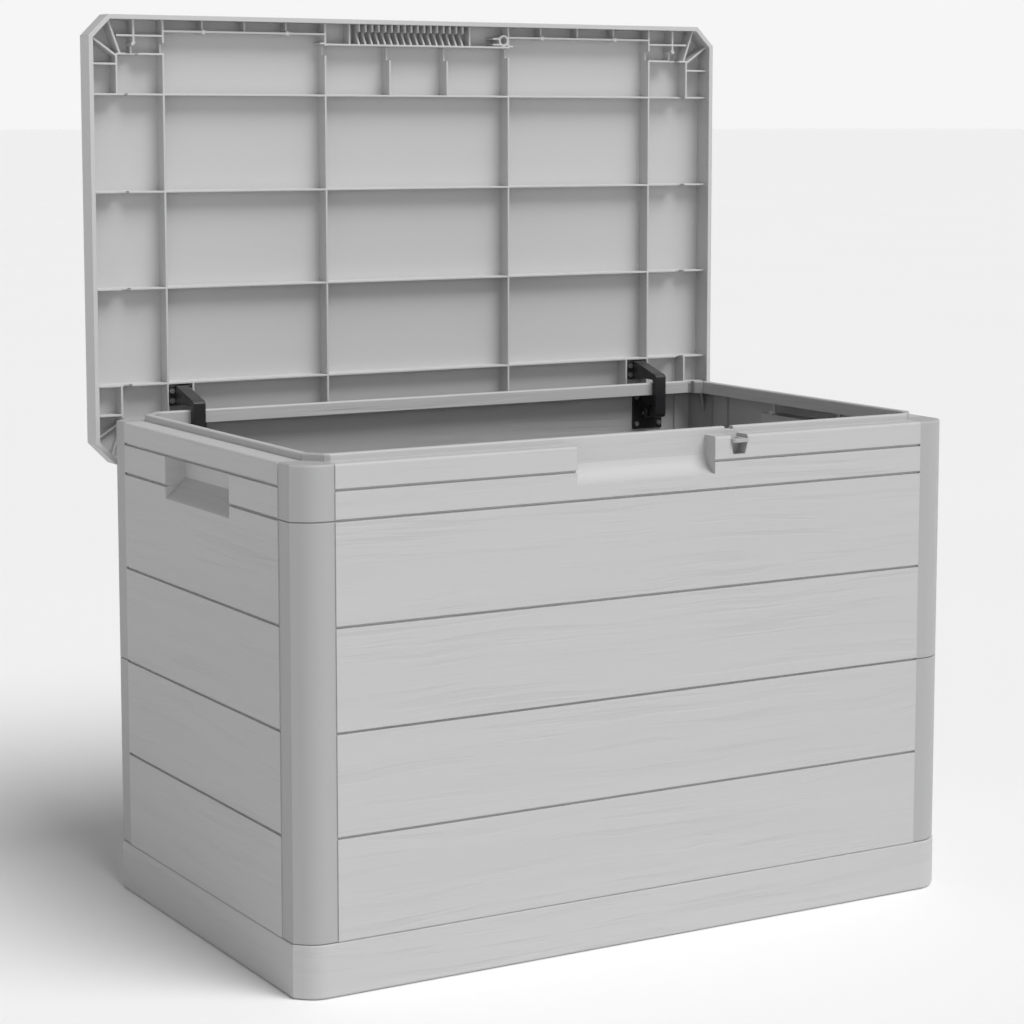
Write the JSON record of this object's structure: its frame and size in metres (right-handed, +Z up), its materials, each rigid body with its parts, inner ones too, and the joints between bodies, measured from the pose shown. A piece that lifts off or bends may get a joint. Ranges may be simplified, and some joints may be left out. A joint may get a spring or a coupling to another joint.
{
  "type": "deck storage box",
  "caption": "Rectangular moulded deck storage box with stacked corner posts, plank-pattern walls and a ribbed lid on two concealed gooseneck hinges, standing open.",
  "frame": {"origin": "centre of the footprint on the ground, at the underside of the base tray", "axes": "+X to the right along the front, +Y towards the hinges at the back, +Z up"},
  "size_m": [0.78, 0.491, 0.92],
  "materials": {
    "grained_panel": "light grey moulded resin with a faint wood grain",
    "smooth_post": "light grey moulded resin, smooth",
    "lid_shell": "light grey moulded resin, ribbed and smooth below, grained on top",
    "black_hinge": "black glass-filled nylon, semi-matt",
    "zinc_steel": "zinc-plated steel"
  },
  "bodies": {
    "box": {"base_tray": "grained_panel", "front_panel_lower": "grained_panel", "front_panel_upper": "grained_panel", "back_panel_lower": "grained_panel", "back_panel_upper": "grained_panel", "left_panel_lower": "grained_panel", "left_panel_upper": "grained_panel", "right_panel_lower": "grained_panel", "right_panel_upper": "grained_panel", "front_left_post_lower": "smooth_post", "front_left_post_upper": "smooth_post", "front_right_post_lower": "smooth_post", "front_right_post_upper": "smooth_post", "back_right_post_lower": "smooth_post", "back_right_post_upper": "smooth_post", "back_left_post_lower": "smooth_post", "back_left_post_upper": "smooth_post", "padlock_eye": "smooth_post", "rim_hooks": "smooth_post", "left_hinge_bracket": "black_hinge", "right_hinge_bracket": "black_hinge", "left_hinge_pin": "zinc_steel", "right_hinge_pin": "zinc_steel", "hinge_bracket_screws": "zinc_steel"},
    "lid": {"lid": "lid_shell", "left_hinge_arm": "black_hinge", "right_hinge_arm": "black_hinge", "hinge_arm_screws": "zinc_steel"}
  },
  "joints": [
    {"name": "lid_hinge", "type": "hinge", "parent": "box", "child": "lid", "pos_m": [0, 0.212, 0.471], "axis": [1, 0, 0], "range_deg": [0, 90]}
  ]
}
